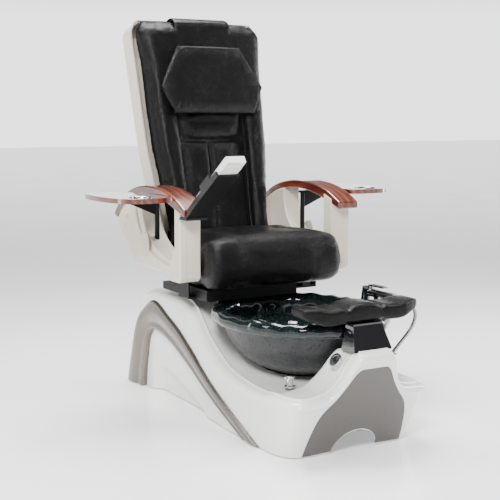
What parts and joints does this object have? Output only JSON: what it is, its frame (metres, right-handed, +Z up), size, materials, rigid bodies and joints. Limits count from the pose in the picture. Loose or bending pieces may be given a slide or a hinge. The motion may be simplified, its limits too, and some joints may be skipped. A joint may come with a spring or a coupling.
{
  "type": "pedicure spa chair",
  "caption": "Pedicure spa chair: reclining sliding seat with swing trays on a moulded base with a foot bowl, footrest and hand sprayer.",
  "frame": {"origin": "on the floor, under the middle of the chair", "axes": "+Z up, the sitter faces -Y, +X is the sitter's left"},
  "size_m": [1.1754, 1.3688, 1.4687],
  "materials": {
    "gelcoat_white": "glossy moulded gelcoat",
    "trim_champagne": "satin metallic",
    "panel_grey": "satin",
    "bowl_glass": "glossy cast glass and resin",
    "chrome": "polished",
    "pipe_grey": "satin",
    "jet_plastic": "gloss",
    "rubber_black": "matt",
    "steel_black": "satin powder coat",
    "steel_bright": "brushed",
    "black_plastic": "satin",
    "black_mirror": "mirror gloss",
    "hose_steel": "braided",
    "leather_black": "soft sheen",
    "casing_cream": "satin gloss",
    "wood_cherry": "gloss lacquer",
    "plate_cream": "satin",
    "remote_white": "satin gloss",
    "key_grey": "matt"
  },
  "bodies": {
    "base": {"base_shell": "gelcoat_white", "side_trim_left": "trim_champagne", "side_trim_right": "trim_champagne", "side_panel_left": "gelcoat_white", "side_panel_right": "gelcoat_white", "front_panel": "panel_grey", "bowl": "bowl_glass", "drain_fitting": "chrome", "drain_pipe": "pipe_grey", "jet_housing": "jet_plastic", "levelling_feet": "rubber_black", "base_frame": "steel_black", "seat_rails": "steel_bright", "slide_actuator": "black_plastic", "footrest_pedestal": "black_mirror", "mixer_body": "chrome", "fill_valve_body": "chrome", "button_bezel": "chrome", "sprayer_dock": "chrome", "control_box": "black_plastic", "cable_gland": "black_plastic", "hose_collar": "chrome", "spray_hose": "hose_steel"},
    "jet_impeller": {"jet_impeller": "jet_plastic"},
    "mixer_lever": {"mixer_lever": "chrome"},
    "fill_valve_lever": {"fill_valve_lever": "chrome"},
    "jet_button": {"jet_button": "chrome"},
    "sprayer": {"sprayer": "chrome"},
    "sprayer_lever": {"sprayer_lever": "chrome"},
    "seat": {"seat_frame": "steel_black", "seat_cushion": "leather_black", "armrest_left": "casing_cream", "armrest_right": "casing_cream", "arm_top_left": "wood_cherry", "arm_top_right": "wood_cherry", "arm_plate_left": "plate_cream", "arm_plate_right": "plate_cream", "slide_bearings": "black_plastic", "slide_rod": "steel_bright", "recline_actuator": "black_plastic", "remote_holder": "black_plastic", "recline_pins": "steel_bright"},
    "tray_left": {"tray_left": "wood_cherry", "tray_dish_left": "chrome", "tray_arm_left": "steel_black"},
    "tray_right": {"tray_right": "wood_cherry", "tray_dish_right": "chrome", "tray_arm_right": "steel_black"},
    "remote": {"remote": "remote_white"},
    "remote_power_key": {"remote_power_key": "key_grey"},
    "remote_up_key": {"remote_up_key": "key_grey"},
    "remote_down_key": {"remote_down_key": "key_grey"},
    "back": {"back_frame": "steel_black", "back_shell": "casing_cream", "back_cushion": "leather_black"},
    "recline_rod": {"recline_rod": "steel_bright"},
    "massage_carriage": {"massage_carriage": "black_plastic"},
    "massage_rollers": {"massage_rollers": "rubber_black"},
    "head_pillow": {"head_pillow": "leather_black"},
    "footrest": {"footrest_cushion": "leather_black"}
  },
  "joints": [
    {"name": "seat_slide", "type": "slide", "parent": "base", "child": "seat", "axis": [0, 1, 0], "range_m": [-0.09, 0.06]},
    {"name": "recline", "type": "hinge", "parent": "seat", "child": "back", "pos_m": [0, 0.275, 0.5], "axis": [-1, 0, 0], "range_deg": [-5, 30]},
    {"name": "recline_rod_slide", "type": "slide", "parent": "seat", "child": "recline_rod", "axis": [0, -1, 0], "range_m": [-0.006, 0.031]},
    {"name": "massage_travel", "type": "slide", "parent": "back", "child": "massage_carriage", "axis": [0, 0.2284, 0.9736], "range_m": [-0.12, 0.38]},
    {"name": "massage_roll", "type": "hinge", "parent": "massage_carriage", "child": "massage_rollers", "pos_m": [0, 0.41884, 0.81549], "axis": [1, 0, 0], "continuous": true},
    {"name": "pillow_height", "type": "slide", "parent": "back", "child": "head_pillow", "axis": [0, 0.2284, 0.9736], "range_m": [-0.05, 0.04]},
    {"name": "tray_swing_left", "type": "hinge", "parent": "seat", "child": "tray_left", "pos_m": [0.32, 0.224, 0.7], "axis": [0, 0, 1], "range_deg": [0, 35]},
    {"name": "tray_swing_right", "type": "hinge", "parent": "seat", "child": "tray_right", "pos_m": [-0.32, 0.224, 0.7], "axis": [0, 0, -1], "range_deg": [0, 35]},
    {"name": "remote_pull", "type": "slide", "parent": "seat", "child": "remote", "axis": [0, -0.8221, 0.5693], "range_m": [0, 0.16]},
    {"name": "power_key_press", "type": "slide", "parent": "remote", "child": "remote_power_key", "axis": [0, -0.5693, -0.8221], "range_m": [0, 0.0012], "stiffness_N_per_m": 600},
    {"name": "up_key_press", "type": "slide", "parent": "remote", "child": "remote_up_key", "axis": [0, -0.5693, -0.8221], "range_m": [0, 0.0012], "stiffness_N_per_m": 600},
    {"name": "down_key_press", "type": "slide", "parent": "remote", "child": "remote_down_key", "axis": [0, -0.5693, -0.8221], "range_m": [0, 0.0012], "stiffness_N_per_m": 600},
    {"name": "footrest_slide", "type": "slide", "parent": "base", "child": "footrest", "axis": [0, -1, 0], "range_m": [0, 0.05]},
    {"name": "jet_spin", "type": "hinge", "parent": "base", "child": "jet_impeller", "pos_m": [0, -0.01, 0.295], "axis": [0, 1, 0], "continuous": true},
    {"name": "mixer_turn", "type": "hinge", "parent": "base", "child": "mixer_lever", "pos_m": [-0.169, -0.447, 0.23], "axis": [0, 0, 1], "range_deg": [-45, 45]},
    {"name": "fill_valve_turn", "type": "hinge", "parent": "base", "child": "fill_valve_lever", "pos_m": [0.205, -0.5, 0.27], "axis": [0, 0, 1], "range_deg": [-45, 45]},
    {"name": "button_press", "type": "slide", "parent": "base", "child": "jet_button", "axis": [0.8064, 0, -0.5914], "range_m": [0, 0.003], "stiffness_N_per_m": 500},
    {"name": "sprayer_lift", "type": "slide", "parent": "base", "child": "sprayer", "axis": [0, 0, 1], "range_m": [0, 0.05]},
    {"name": "sprayer_squeeze", "type": "hinge", "parent": "sprayer", "child": "sprayer_lever", "pos_m": [0.24, -0.341, 0.487], "axis": [1, 0, 0], "range_deg": [0, 6], "stiffness_Nm_per_rad": 0.6}
  ],
  "couplings": [
    {"joint": "recline_rod_slide", "follows": "recline", "m_per_rad": 0.056}
  ]
}
